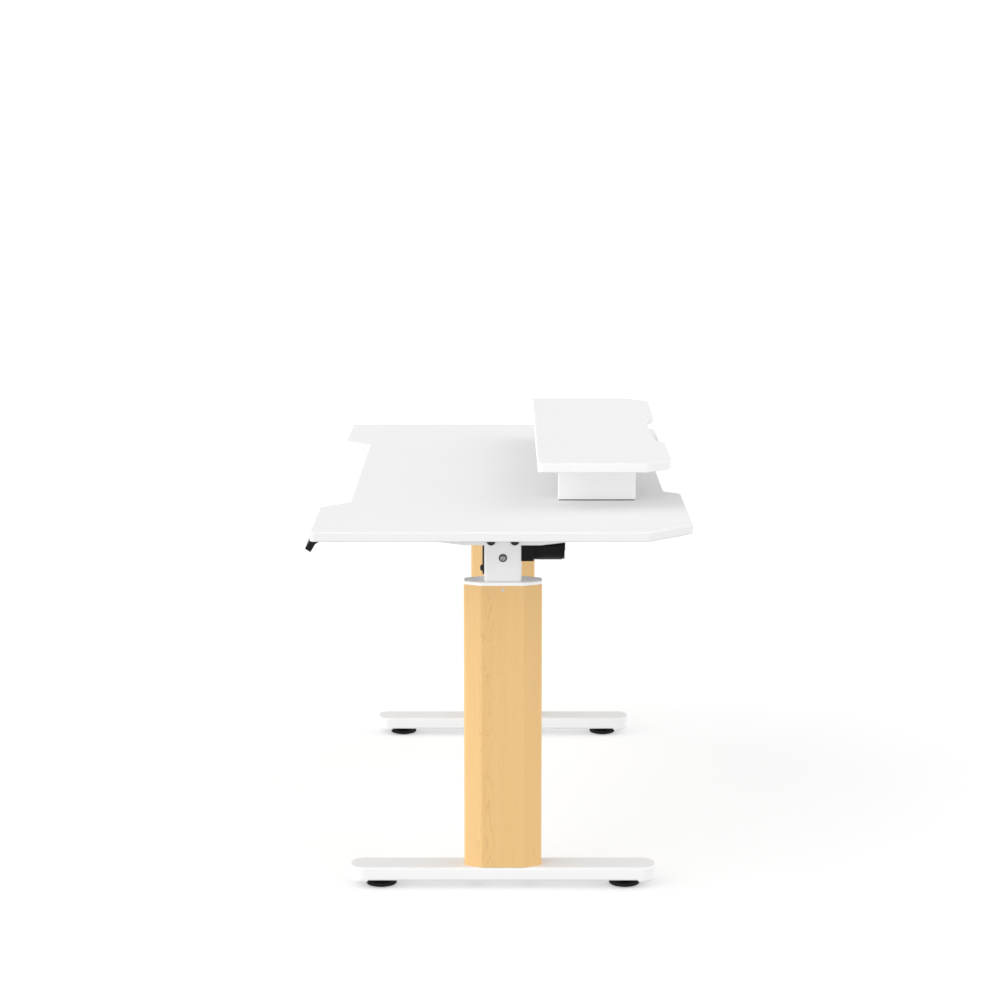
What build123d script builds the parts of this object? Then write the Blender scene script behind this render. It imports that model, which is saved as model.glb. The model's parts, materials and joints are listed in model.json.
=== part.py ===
from build123d import *
import os
from math import cos, radians, sin

os.makedirs("parts", exist_ok=True)

# Height adjustable desk, in millimetres, standing at its lowest height.
# X runs along the desk, -Y is the user's side and +Z is up. The origin is on the floor,
# midway between the legs. The leg at +X is built, and the one at -X is its mirror image.

# ---- Driving dimensions ----------------------------------------------------------------

DESK_LENGTH = 1400
DESK_DEPTH = 700
BOARD = 18                  # thickness of the desktop, the shelf and its supports
DESK_TOP = 705
TRAVEL = 450                # how far the desktop rises
EDGE_ROUND = 2.5            # rounding of the boards' edges

SHELF_UNDER = 778
SHELF_LENGTH = 950
SHELF_FRONT = 66
SHELF_BACK = 322
SUPPORT_X = 348             # mid-plane of a shelf support
SUPPORT_DEPTH = 150
SUPPORT_Y = 182
PAD_UNDER_SUPPORT = 2

LEG_X = 564
TUBE_X, TUBE_Y = 42, 70     # inner tube, outside
TUBE_WALL = 1.8
TUBE_ROUND = 5
TUBE_BOTTOM = 60
GLIDE_GAP = 2               # space between the inner and the outer tube
OUTER_WALL = 2
OUTER_TOP = 580
GLIDE_HEIGHT = 30
FIT = 0.1                   # clearance of a sliding or running fit, each side
SNUG = 0.05                 # clearance of pieces that are fixed to each other

CLAD_X, CLAD_Y = 64, 146    # wood-faced cladding, over its flats
CLAD_FLAT_X, CLAD_FLAT_Y = 32, 80
CLAD_WALL = 5
CLAD_ROUND = 8              # rounding of its upright edges
CLAD_TOP = 585
COLLAR = 6
CLAD_SCREW_Z = 577

BEAM_WIDTH = 68
BEAM_BOTTOM, BEAM_TOP = 16, 42
BEAM_LENGTH = 512
BEAM_WALL = 2
BEAM_ROUND = 5
FOOT_LENGTH = 580
CAP_BOTTOM = 13.5
PLATE = 6                   # base plate welded under the outer tube
FOOT_BOLT_X, FOOT_BOLT_Y = 9, 50

LEVELLER_Y = 231
LEVELLER_RADIUS = 29
LEVELLER_SOLE = 21          # radius of the face that stands on the floor
LEVELLER_RIM = 9
STUD_RADIUS = 5
STUD_TOP = 38

SPINDLE_RADIUS = 6
SPINDLE_TOP = 660
POST_RADIUS = 14
NUT_BOTTOM, NUT_TOP = 548, 570

GEAR_BOTTOM, GEAR_TOP = 629, 682
GEAR_HALF_X = 18.7
GEAR_FRONT, GEAR_BACK = -33, 57.5
GEAR_BORE = 12
WHEEL_RADIUS = 10
WHEEL_HEIGHT = 10
WORM_RADIUS = 3.2
WORM_X = LEG_X - WHEEL_RADIUS - WORM_RADIUS - 0.2
WORM_Z = 651.5
MOTOR_RADIUS = 25
MOTOR_END = 115

BRACKET_HALF = 246
BRACKET_PLATE = 3
BRACKET_LOW = 660           # lower edge of the bracket's flange at the leg
BRACKET_INNER_X = LEG_X - 30
BOLT_Y, BOLT_Z = 22, 668    # bolts through bracket, tube and gearbox
LOW_BOLT_Z = 635.5
STRAP_LOW_SCREW, STRAP_HIGH_SCREW = 613, 672
STRAP_BOTTOM = 603

RAIL_Y = 150
RAIL_WIDTH, RAIL_HEIGHT, RAIL_WALL = 30, 18, 1.5
RAIL_END = LEG_X + 18
RAIL_BOLT_X = LEG_X - 15
DESK_SCREW_X = LEG_X + 14
DESK_SCREW_YS = (-215, -90, 90, 215)
SCREW_LENGTH = 15

BOX_HALF = 110              # control box
BOX_FRONT, BOX_BACK = 42, 118
BOX_BOTTOM = 654
BOX_WALL = 2.5
BOX_EAR = 135
BOX_SCREW_X = 125
INLET_X, INLET_Z = 60, 669

HANDSET_X = 545             # middle of the handset
HANDSET_WIDTH = 110
HANDSET_FACE = 35.5         # height of its sloping face
HANDSET_TILT = 31           # slope of the face from the vertical
HANDSET_LOW = (-366.5, 655)  # lower front edge of the face, in Y and Z
HANDSET_SHELL = 10
HANDSET_WALL = 2
HANDSET_SCREW_X, HANDSET_SCREW_Y = 25, -310
KEYS = {"key_up": -42, "key_down": -27, "key_1": 24, "key_2": 39}
KEY_WIDTH, KEY_HEIGHT = 11, 10
KEY_PROUD = 0.8
DISPLAY_X, DISPLAY_WIDTH, DISPLAY_HEIGHT = -2, 26, 14

# ---- Worked out from them --------------------------------------------------------------

DESK_UNDER = DESK_TOP - BOARD
OUTER_X = TUBE_X + 2 * (GLIDE_GAP + OUTER_WALL)
OUTER_Y = TUBE_Y + 2 * (GLIDE_GAP + OUTER_WALL)
BRACKET_UNDER = DESK_UNDER - BRACKET_PLATE
TUBE_FACE = LEG_X + TUBE_X / 2
SPINDLE_BOTTOM = NUT_TOP - 45 - TRAVEL
BEAM_MIDDLE = (BEAM_BOTTOM + BEAM_TOP) / 2
BEAM_HEIGHT = BEAM_TOP - BEAM_BOTTOM
FACE_UP = (0, sin(radians(HANDSET_TILT)), cos(radians(HANDSET_TILT)))
FACE_OUT = (0, -cos(radians(HANDSET_TILT)), sin(radians(HANDSET_TILT)))

# ---- Helpers ---------------------------------------------------------------------------

LOW = (Align.CENTER, Align.CENTER, Align.MIN)
HIGH = (Align.CENTER, Align.CENTER, Align.MAX)


def write(piece, name):
    """Label a finished piece and write it as its own STEP file."""
    piece.label = name
    export_step(piece, f"parts/{name}.step")


def write_pair(piece, name):
    """Write a piece of the leg at +X, and its mirror image for the leg at -X."""
    write(piece, f"{name}_right")
    write(mirror(piece, about=Plane.YZ), f"{name}_left")


def leg_plane(height):
    """The horizontal plane at a height, centred on the leg."""
    return Plane(origin=(LEG_X, 0, height))


def facing(point, direction):
    """A plane at a point, facing a direction, with its local x as level as it can be."""
    across = (0, 1, 0) if abs(direction[0]) > 0.5 else (1, 0, 0)
    return Plane(origin=point, x_dir=across, z_dir=direction)


def add_screws(planes, head_radius, head_height, radius, length, socket=0):
    """Screws whose heads stand on the planes and whose shanks go in behind them."""
    with Locations(*planes):
        Cylinder(head_radius, head_height / 2, align=LOW)
        Cylinder(radius, length, align=HIGH)
    with Locations(*[plane.offset(head_height / 2) for plane in planes]):
        Cone(head_radius, 0.7 * head_radius, head_height / 2, align=LOW)
    if socket:
        with BuildSketch(*[plane.offset(head_height) for plane in planes]) as recess:
            RegularPolygon(socket, 6)
        extrude(recess.sketch, amount=-0.6 * head_height, mode=Mode.SUBTRACT)


def octagon():
    """Plan outline of the leg cladding about the leg's centre."""
    x, y = CLAD_X / 2, CLAD_FLAT_Y / 2
    x_end, y_end = CLAD_FLAT_X / 2, CLAD_Y / 2
    back = [(x, y), (x_end, y_end), (-x_end, y_end), (-x, y)]
    front = [(-px, -py) for px, py in back]
    return back + front


# ---- Desktop and monitor shelf ---------------------------------------------------------

BRACKET_SCREWS = [(side * DESK_SCREW_X, y) for side in (-1, 1) for y in DESK_SCREW_YS]
BOX_SCREWS = [(side * BOX_SCREW_X, (BOX_FRONT + BOX_BACK) / 2) for side in (-1, 1)]
HANDSET_SCREWS = [(HANDSET_X + side * HANDSET_SCREW_X, HANDSET_SCREW_Y) for side in (-1, 1)]
SHELF_SCREWS = [(side * SUPPORT_X, SUPPORT_Y + y) for side in (-1, 1) for y in (-42, 42)]


def desktop():
    half, back = DESK_LENGTH / 2, DESK_DEPTH / 2
    # Plan corners of the half at +X, each with its rounding, from front middle to back middle
    corners = [
        (374, -295, 20),
        (436, -back, 14),
        (half, -back, 8),
        (half, 267, 8),
        (620, back, 12),
        (272, back, 25),
        (252, 318, 26),
    ]
    mirrored = [(-x, y, r) for x, y, r in reversed(corners)]
    outline = corners + mirrored
    with BuildPart() as top:
        with BuildSketch(Plane.XY.offset(DESK_UNDER)):
            with BuildLine():
                points = [(x, y) for x, y, _ in outline]
                FilletPolyline(*points, radius=[r for _, _, r in outline], close=True)
            make_face()
        extrude(amount=BOARD)
        fillet(top.faces().sort_by(Axis.Z)[-1].edges(), EDGE_ROUND)
        fillet(top.faces().sort_by(Axis.Z)[0].edges(), EDGE_ROUND)
        pilots = BRACKET_SCREWS + BOX_SCREWS + HANDSET_SCREWS
        with Locations(*[facing((x, y, DESK_UNDER), (0, 0, -1)) for x, y in pilots]):
            Hole(2.45, depth=12.5)
        with Locations(*[facing((x, y, DESK_UNDER), (0, 0, -1)) for x, y in SHELF_SCREWS]):
            CounterBoreHole(2.6, 5.3, 4, depth=BOARD)
    write(top.part, "desktop")


def desktop_screws():
    with BuildPart() as screws:
        for places, height in (
            (BRACKET_SCREWS, BRACKET_UNDER),
            (BOX_SCREWS, DESK_UNDER - BOX_WALL),
            (HANDSET_SCREWS, DESK_UNDER - 11),
        ):
            planes = [facing((x, y, height), (0, 0, -1)) for x, y in places]
            add_screws(planes, 4.5, 2.4, 2.4, SCREW_LENGTH)
    write(screws.part, "desktop_screws")


def monitor_shelf():
    half = SHELF_LENGTH / 2
    with BuildPart() as shelf:
        with BuildSketch(Plane.XY.offset(SHELF_UNDER)) as plan:
            with BuildLine():
                right = [(half, SHELF_FRONT), (half, 274), (430, SHELF_BACK), (202, SHELF_BACK), (180, 307)]
                left = [(-x, y) for x, y in reversed(right)]
                Polyline(*left, *right)
                ThreePointArc(right[-1], (0, 301), left[0])
            make_face()
            fillet(plan.vertices().filter_by(lambda v: abs(v.X) > 450), 10)
            fillet(plan.vertices().filter_by(lambda v: abs(v.X) > 400 and v.Y > 320), 40)
            fillet(plan.vertices().filter_by(lambda v: v.Y > 320 and abs(v.X) < 205), 20)
            fillet(plan.vertices().filter_by(lambda v: abs(v.Y - 307) < 0.1), 20)
        extrude(amount=BOARD)
        fillet(shelf.faces().sort_by(Axis.Z)[-1].edges(), EDGE_ROUND)
        fillet(shelf.faces().sort_by(Axis.Z)[0].edges(), EDGE_ROUND)
    write(shelf.part, "monitor_shelf")


def shelf_support():
    bottom = DESK_TOP + PAD_UNDER_SUPPORT
    with BuildPart() as support:
        with BuildSketch(Plane(origin=(SUPPORT_X, SUPPORT_Y, bottom))):
            RectangleRounded(BOARD, SUPPORT_DEPTH, 2)
        extrude(amount=SHELF_UNDER - bottom)
        with Locations(*[facing((SUPPORT_X, SUPPORT_Y + y, bottom), (0, 0, -1)) for y in (-42, 42)]):
            Hole(2.55, depth=36)
    write_pair(support.part, "shelf_support")


def shelf_pads():
    with BuildPart() as pads:
        with BuildSketch(Plane(origin=(SUPPORT_X, SUPPORT_Y, DESK_TOP))):
            RectangleRounded(BOARD - 2, SUPPORT_DEPTH - 3, 2)
            with Locations((0, -42), (0, 42)):
                Circle(2.6, mode=Mode.SUBTRACT)
        extrude(amount=PAD_UNDER_SUPPORT)
        mirror(about=Plane.YZ)
    write(pads.part, "shelf_pads")


def shelf_screws():
    with BuildPart() as screws:
        planes = [facing((x, y, DESK_UNDER + 4), (0, 0, -1)) for x, y in SHELF_SCREWS]
        add_screws(planes, 5.1, 3.5, 2.5, 50)
    write(screws.part, "shelf_screws")


# ---- Feet ------------------------------------------------------------------------------


def foot_beam():
    bolts = [(x, y) for x in (-FOOT_BOLT_X, FOOT_BOLT_X) for y in (-FOOT_BOLT_Y, FOOT_BOLT_Y)]
    with BuildPart() as beam:
        start = Plane(origin=(LEG_X, -BEAM_LENGTH / 2, BEAM_MIDDLE), x_dir=(1, 0, 0), z_dir=(0, 1, 0))
        with BuildSketch(start):
            RectangleRounded(BEAM_WIDTH, BEAM_HEIGHT, BEAM_ROUND)
            inner = (BEAM_WIDTH - 2 * BEAM_WALL, BEAM_HEIGHT - 2 * BEAM_WALL)
            RectangleRounded(*inner, BEAM_ROUND - BEAM_WALL, mode=Mode.SUBTRACT)
        extrude(amount=BEAM_LENGTH)
        with BuildSketch(leg_plane(BEAM_TOP)):
            with Locations(*bolts):
                Circle(4.1)
        extrude(amount=-BEAM_WALL, mode=Mode.SUBTRACT)
        with BuildSketch(leg_plane(BEAM_BOTTOM)):
            with Locations(*bolts):
                Circle(7.5)
            with Locations((0, -LEVELLER_Y), (0, LEVELLER_Y)):
                Circle(STUD_RADIUS + 0.3)
        extrude(amount=BEAM_WALL, mode=Mode.SUBTRACT)
    write_pair(beam.part, "foot_beam")


def foot_end_caps():
    seam = BEAM_LENGTH / 2
    with BuildPart() as caps:
        with BuildSketch(Plane(origin=(LEG_X, seam, CAP_BOTTOM))) as nose:
            Rectangle(BEAM_WIDTH, FOOT_LENGTH / 2 - seam, align=(Align.CENTER, Align.MIN))
            fillet(nose.vertices().group_by(Axis.Y)[-1], 27)
        extrude(amount=BEAM_TOP - CAP_BOTTOM)
        rim = caps.faces().sort_by(Axis.Z)[-1].edges() + caps.faces().sort_by(Axis.Z)[0].edges()
        fillet(rim.filter_by(lambda edge: edge.center().Y > seam + 1), 4)
        with BuildSketch(Plane(origin=(LEG_X, seam, BEAM_MIDDLE), x_dir=(1, 0, 0), z_dir=(0, 1, 0))):
            RectangleRounded(BEAM_WIDTH - 2 * BEAM_WALL - 0.4, BEAM_HEIGHT - 2 * BEAM_WALL - 0.4, 3)
        extrude(amount=-15)
        mirror(about=Plane.XZ)
        mirror(about=Plane.YZ)
    write(caps.part, "foot_end_caps")


def foot_bolts():
    with BuildPart() as bolts:
        places = [(x, y) for x in (-FOOT_BOLT_X, FOOT_BOLT_X) for y in (-FOOT_BOLT_Y, FOOT_BOLT_Y)]
        seat = BEAM_TOP - BEAM_WALL
        add_screws([facing((LEG_X + x, y, seat), (0, 0, -1)) for x, y in places], 6.5, 5, 4, 12, socket=3)
        mirror(about=Plane.YZ)
    write(bolts.part, "foot_bolts")


def levelling_nuts():
    with BuildPart() as nuts:
        with BuildSketch(leg_plane(BEAM_BOTTOM + BEAM_WALL)):
            with Locations((0, -LEVELLER_Y), (0, LEVELLER_Y)):
                RegularPolygon(9, 6)
                Circle(STUD_RADIUS + FIT, mode=Mode.SUBTRACT)
        extrude(amount=12)
        mirror(about=Plane.YZ)
    write(nuts.part, "levelling_nuts")


def levelling_pad(end, y):
    hub_top = BEAM_BOTTOM - 0.3
    rim_bottom = 2.5
    stud_seat = 3
    with BuildPart() as pad:
        with Locations((LEG_X, y, rim_bottom)):
            Cylinder(LEVELLER_RADIUS, LEVELLER_RIM - rim_bottom, align=LOW)
        chamfer(pad.edges().filter_by(GeomType.CIRCLE), 1)
        with Locations((LEG_X, y, LEVELLER_RIM)):
            Cone(22, 13, 2.5, align=LOW)
            Cylinder(11, hub_top - LEVELLER_RIM, align=LOW)
        with Locations((LEG_X, y, rim_bottom)):
            with PolarLocations(LEVELLER_RADIUS + 0.4, 40):
                Cylinder(1.3, LEVELLER_RIM, align=LOW, mode=Mode.SUBTRACT)
        with Locations((LEG_X, y, 0)):
            Cylinder(LEVELLER_SOLE, rim_bottom, align=LOW)
        with Locations((LEG_X, y, stud_seat)):
            Cylinder(STUD_RADIUS + SNUG, hub_top, align=LOW, mode=Mode.SUBTRACT)
    write_pair(pad.part, f"levelling_pad_{end}")
    with BuildPart() as stud:
        with Locations((LEG_X, y, stud_seat)):
            Cylinder(STUD_RADIUS, STUD_TOP - stud_seat, align=LOW)
        chamfer(stud.edges().sort_by(Axis.Z)[-1], 1)
    write_pair(stud.part, f"levelling_stud_{end}")


# ---- Columns ---------------------------------------------------------------------------


def outer_tube():
    with BuildPart() as tube:
        with BuildSketch(leg_plane(BEAM_TOP)):
            Polygon(*octagon(), align=None)
            offset(amount=-CLAD_WALL - 0.5, kind=Kind.INTERSECTION)
            for y in (-FOOT_BOLT_Y, FOOT_BOLT_Y):
                with Locations((-FOOT_BOLT_X, y), (FOOT_BOLT_X, y)):
                    Circle(4 + SNUG, mode=Mode.SUBTRACT)
        extrude(amount=PLATE)
        with BuildSketch(leg_plane(BEAM_TOP + PLATE)):
            RectangleRounded(OUTER_X, OUTER_Y, TUBE_ROUND)
            inner = (OUTER_X - 2 * OUTER_WALL, OUTER_Y - 2 * OUTER_WALL)
            RectangleRounded(*inner, TUBE_ROUND - OUTER_WALL, mode=Mode.SUBTRACT)
        extrude(amount=OUTER_TOP - BEAM_TOP - PLATE)
        with Locations(facing((LEG_X + OUTER_X / 2, 0, CLAD_SCREW_Z), (1, 0, 0))):
            Hole(1.5 + SNUG, depth=OUTER_WALL)
    write_pair(tube.part, "outer_tube")


def column_cladding():
    with BuildPart() as cladding:
        with BuildSketch(leg_plane(BEAM_TOP)) as plan:
            outline = Polygon(*octagon(), align=None)
            fillet(plan.vertices(), CLAD_ROUND)
            offset(outline, -CLAD_WALL, kind=Kind.INTERSECTION, mode=Mode.SUBTRACT)
        extrude(amount=CLAD_TOP - BEAM_TOP)
        with Locations(facing((LEG_X + CLAD_X / 2, 0, CLAD_SCREW_Z), (1, 0, 0))):
            CounterSinkHole(1.6, 3, depth=CLAD_WALL, counter_sink_angle=90)
    write_pair(cladding.part, "column_cladding")


def cladding_screws():
    with BuildPart() as screws:
        with Locations(facing((LEG_X + CLAD_X / 2, 0, CLAD_SCREW_Z), (1, 0, 0))):
            Cone(1.5, 2.9, 1.4, align=HIGH)
            Cylinder(1.5, CLAD_WALL + 3.4, align=HIGH)
            Cylinder(0.8, 0.8, align=HIGH, mode=Mode.SUBTRACT)
        mirror(about=Plane.YZ)
    write(screws.part, "cladding_screws")


def column_collars():
    with BuildPart() as collars:
        with BuildSketch(leg_plane(CLAD_TOP)) as plan:
            Polygon(*octagon(), align=None)
            fillet(plan.vertices(), CLAD_ROUND)
        extrude(amount=COLLAR)
        chamfer(collars.faces().sort_by(Axis.Z)[-1].edges(), 1)
        with BuildSketch(leg_plane(CLAD_TOP)):
            Polygon(*octagon(), align=None)
            lip = offset(amount=-CLAD_WALL - 0.2, kind=Kind.INTERSECTION)
            offset(lip, -2, kind=Kind.INTERSECTION, mode=Mode.SUBTRACT)
        extrude(amount=-5)
        with BuildSketch(leg_plane(CLAD_TOP)):
            RectangleRounded(TUBE_X + 1, TUBE_Y + 1, TUBE_ROUND + 0.5)
        extrude(amount=COLLAR, mode=Mode.SUBTRACT)
        mirror(about=Plane.YZ)
    write(collars.part, "column_collars")


def glides():
    """Plastic sleeves: the upper ones stay in the outer tubes, the lower ones rise."""
    bore = (TUBE_X + 2 * GLIDE_GAP, TUBE_Y + 2 * GLIDE_GAP)
    with BuildPart() as upper:
        with BuildSketch(leg_plane(OUTER_TOP)):
            RectangleRounded(bore[0] - 2 * SNUG, bore[1] - 2 * SNUG, TUBE_ROUND - OUTER_WALL)
            RectangleRounded(TUBE_X + 2 * FIT, TUBE_Y + 2 * FIT, TUBE_ROUND, mode=Mode.SUBTRACT)
        extrude(amount=-GLIDE_HEIGHT)
        mirror(about=Plane.YZ)
    write(upper.part, "upper_glides")
    with BuildPart() as lower:
        with BuildSketch(leg_plane(TUBE_BOTTOM - 2)):
            RectangleRounded(bore[0] - 2 * FIT, bore[1] - 2 * FIT, TUBE_ROUND - OUTER_WALL)
            RectangleRounded(TUBE_X + 2 * SNUG, TUBE_Y + 2 * SNUG, TUBE_ROUND, mode=Mode.SUBTRACT)
        extrude(amount=GLIDE_HEIGHT)
        mirror(about=Plane.YZ)
    write(lower.part, "lower_glides")


def inner_tube():
    with BuildPart() as tube:
        with BuildSketch(leg_plane(TUBE_BOTTOM)):
            RectangleRounded(TUBE_X, TUBE_Y, TUBE_ROUND)
            inner = (TUBE_X - 2 * TUBE_WALL, TUBE_Y - 2 * TUBE_WALL)
            RectangleRounded(*inner, TUBE_ROUND - TUBE_WALL, mode=Mode.SUBTRACT)
        extrude(amount=BRACKET_UNDER - TUBE_BOTTOM)
        # The gearbox leaves the tube through an open slot in its back wall
        with BuildSketch(Plane(origin=(LEG_X, TUBE_Y / 2, GEAR_BOTTOM - 0.3))):
            Rectangle(2 * GEAR_HALF_X + 0.6, 4 * TUBE_WALL)
        extrude(amount=BRACKET_UNDER - GEAR_BOTTOM + 1, mode=Mode.SUBTRACT)
        with Locations(*[facing((TUBE_FACE, y, BOLT_Z), (1, 0, 0)) for y in (-BOLT_Y, BOLT_Y)]):
            Hole(4.1, depth=TUBE_WALL)
        with Locations(facing((TUBE_FACE, 0, LOW_BOLT_Z), (1, 0, 0))):
            Hole(4.1, depth=TUBE_WALL)
        front = -TUBE_Y / 2
        with Locations(*[facing((LEG_X, front, z), (0, -1, 0)) for z in (STRAP_LOW_SCREW, STRAP_HIGH_SCREW)]):
            Hole(3.1, depth=TUBE_WALL)
    write_pair(tube.part, "inner_tube")


# ---- Lifting drive ---------------------------------------------------------------------


def nut_posts():
    with BuildPart() as posts:
        with BuildSketch(leg_plane(BEAM_TOP + PLATE)):
            Circle(POST_RADIUS)
            Circle(SPINDLE_RADIUS + 1.5, mode=Mode.SUBTRACT)
        extrude(amount=NUT_BOTTOM - BEAM_TOP - PLATE)
        mirror(about=Plane.YZ)
    write(posts.part, "nut_posts")


def spindle_nuts():
    with BuildPart() as nuts:
        with BuildSketch(leg_plane(NUT_BOTTOM)):
            Circle(POST_RADIUS)
            Circle(SPINDLE_RADIUS + FIT, mode=Mode.SUBTRACT)
        extrude(amount=NUT_TOP - NUT_BOTTOM)
        chamfer(nuts.faces().sort_by(Axis.Z)[-1].edges().sort_by(SortBy.RADIUS)[-1], 2)
        mirror(about=Plane.YZ)
    write(nuts.part, "spindle_nuts")


def spindle():
    with BuildPart() as screw:
        with BuildSketch(leg_plane(SPINDLE_BOTTOM)):
            Circle(SPINDLE_RADIUS)
        extrude(amount=SPINDLE_TOP - SPINDLE_BOTTOM)
        chamfer(screw.edges().group_by(Axis.Z)[0], 1)
    write_pair(screw.part, "spindle")


def spindle_bearings():
    with BuildPart() as bearings:
        with BuildSketch(leg_plane(GEAR_BOTTOM + 6)):
            Circle(GEAR_BORE)
            Circle(SPINDLE_RADIUS + FIT, mode=Mode.SUBTRACT)
        extrude(amount=7)
        mirror(about=Plane.YZ)
    write(bearings.part, "spindle_bearings")


def worm_wheel():
    teeth = 24
    with BuildPart() as wheel:
        with BuildSketch(leg_plane(WORM_Z - WHEEL_HEIGHT / 2)):
            Circle(WHEEL_RADIUS)
            with PolarLocations(WHEEL_RADIUS + 0.2, teeth):
                Circle(0.9, mode=Mode.SUBTRACT)
            Circle(SPINDLE_RADIUS + SNUG, mode=Mode.SUBTRACT)
        extrude(amount=WHEEL_HEIGHT)
    write_pair(wheel.part, "worm_wheel")


def worm():
    """The motor's shaft, with ring grooves that stand for the worm's thread."""
    half, turns, groove, shaft = 12, 6, 0.8, 2
    pitch = 2 * half / turns
    outline = [(-half, 0)]
    for turn in range(turns):
        start = -half + turn * pitch
        outline += [(start, WORM_RADIUS - groove), (start + pitch / 2, WORM_RADIUS)]
    outline += [(half, WORM_RADIUS - groove), (half, shaft), (GEAR_BACK + 8, shaft), (GEAR_BACK + 8, 0)]
    centre = (WORM_X, 0, WORM_Z)
    with BuildPart() as screw:
        with BuildSketch(Plane(origin=centre, x_dir=(0, 1, 0), z_dir=(1, 0, 0))):
            Polygon(*outline, align=None)
        revolve(axis=Axis(centre, (0, 1, 0)))
    write_pair(screw.part, "worm")


def gearbox_housing():
    with BuildPart() as housing:
        with BuildSketch(Plane(origin=(LEG_X, GEAR_FRONT, GEAR_BOTTOM))):
            Rectangle(2 * GEAR_HALF_X, GEAR_BACK - GEAR_FRONT, align=(Align.CENTER, Align.MIN))
        extrude(amount=GEAR_TOP - GEAR_BOTTOM)
        fillet(housing.edges().filter_by(Axis.Z), TUBE_ROUND - TUBE_WALL + 0.2)
        with Locations(facing((WORM_X, GEAR_BACK, WORM_Z), (0, 1, 0))):
            Cylinder(MOTOR_RADIUS - 3, 6, align=HIGH)
            Cylinder(WORM_RADIUS + 0.6, GEAR_BACK + 14, align=HIGH, mode=Mode.SUBTRACT)
        with BuildSketch(leg_plane(GEAR_BOTTOM)):
            Circle(GEAR_BORE + SNUG)
        extrude(amount=35.5, mode=Mode.SUBTRACT)
        side = LEG_X + GEAR_HALF_X
        bolts = [(side, -BOLT_Y, BOLT_Z), (side, BOLT_Y, BOLT_Z), (side, 0, LOW_BOLT_Z)]
        with Locations(*[facing(place, (1, 0, 0)) for place in bolts]):
            Hole(4 + SNUG, depth=5.9)
        with Locations(facing((LEG_X, GEAR_FRONT, STRAP_HIGH_SCREW), (0, -1, 0))):
            Hole(3 + SNUG, depth=9)
    write_pair(housing.part, "gearbox_housing")


def motor():
    cap = 5
    with BuildPart() as can:
        with Locations(facing((WORM_X, GEAR_BACK, WORM_Z), (0, 1, 0))):
            Cylinder(MOTOR_RADIUS, MOTOR_END - cap - GEAR_BACK, align=LOW)
            Cylinder(MOTOR_RADIUS - 1, MOTOR_END - GEAR_BACK, align=LOW)
            Cylinder(2.5, 2 * 9, mode=Mode.SUBTRACT)
        chamfer(can.faces().sort_by(Axis.Y)[-1].edges(), 1)
    write_pair(can.part, "motor")


def gearbox_plates():
    front = -TUBE_Y / 2
    with BuildPart() as straps:
        with BuildSketch(Plane(origin=(LEG_X, front, STRAP_BOTTOM), x_dir=(1, 0, 0), z_dir=(0, -1, 0))) as face:
            Rectangle(36, GEAR_TOP - STRAP_BOTTOM, align=(Align.CENTER, Align.MIN))
            fillet(face.vertices().group_by(Axis.Z)[0], 8)
            with Locations((0, STRAP_LOW_SCREW - STRAP_BOTTOM), (0, STRAP_HIGH_SCREW - STRAP_BOTTOM)):
                Circle(3.1, mode=Mode.SUBTRACT)
        extrude(amount=3)
        mirror(about=Plane.YZ)
    write(straps.part, "gearbox_plates")


def plate_screws():
    with BuildPart() as screws:
        seat = -TUBE_Y / 2 - 3
        planes = [facing((LEG_X, seat, z), (0, -1, 0)) for z in (STRAP_LOW_SCREW, STRAP_HIGH_SCREW)]
        add_screws(planes, 6.4, 5, 3, 12, socket=2.4)
        mirror(about=Plane.YZ)
    write(screws.part, "plate_screws")


def gearbox_bolts():
    with BuildPart() as bolts:
        add_screws([facing((TUBE_FACE, 0, LOW_BOLT_Z), (1, 0, 0))], 7.5, 4.5, 4, 7.8, socket=3)
        mirror(about=Plane.YZ)
    write(bolts.part, "gearbox_bolts")


# ---- Frame under the desktop -----------------------------------------------------------


def side_bracket():
    low, flat, tip = BRACKET_LOW, 70, BRACKET_UNDER - 3
    outer = TUBE_FACE + BRACKET_PLATE
    with BuildPart() as bracket:
        with BuildSketch(Plane(origin=(BRACKET_INNER_X, 0, BRACKET_UNDER))):
            Rectangle(outer - BRACKET_INNER_X, 2 * BRACKET_HALF, align=(Align.MIN, Align.CENTER))
        extrude(amount=BRACKET_PLATE)
        with BuildSketch(Plane(origin=(TUBE_FACE, 0, 0), x_dir=(0, 1, 0), z_dir=(1, 0, 0))):
            half = [(BRACKET_HALF, DESK_UNDER), (BRACKET_HALF, tip), (flat, low)]
            Polygon(*half, *[(-y, z) for y, z in reversed(half)], align=None)
        extrude(amount=BRACKET_PLATE)
        fold = bracket.edges().filter_by(Axis.Y).group_by(Axis.Z)[-1].sort_by(Axis.X)[-1]
        fillet(fold, BRACKET_PLATE - 0.5)
        with Locations(*[facing((outer, y, BOLT_Z), (1, 0, 0)) for y in (-BOLT_Y, BOLT_Y)]):
            Hole(4.1, depth=BRACKET_PLATE)
        with Locations(*[(DESK_SCREW_X, y, DESK_UNDER) for y in DESK_SCREW_YS]):
            Hole(2.6, depth=BRACKET_PLATE)
        with Locations(*[(RAIL_BOLT_X, y, DESK_UNDER) for y in (-RAIL_Y, RAIL_Y)]):
            Hole(3.1, depth=BRACKET_PLATE)
    write_pair(bracket.part, "side_bracket")


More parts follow.
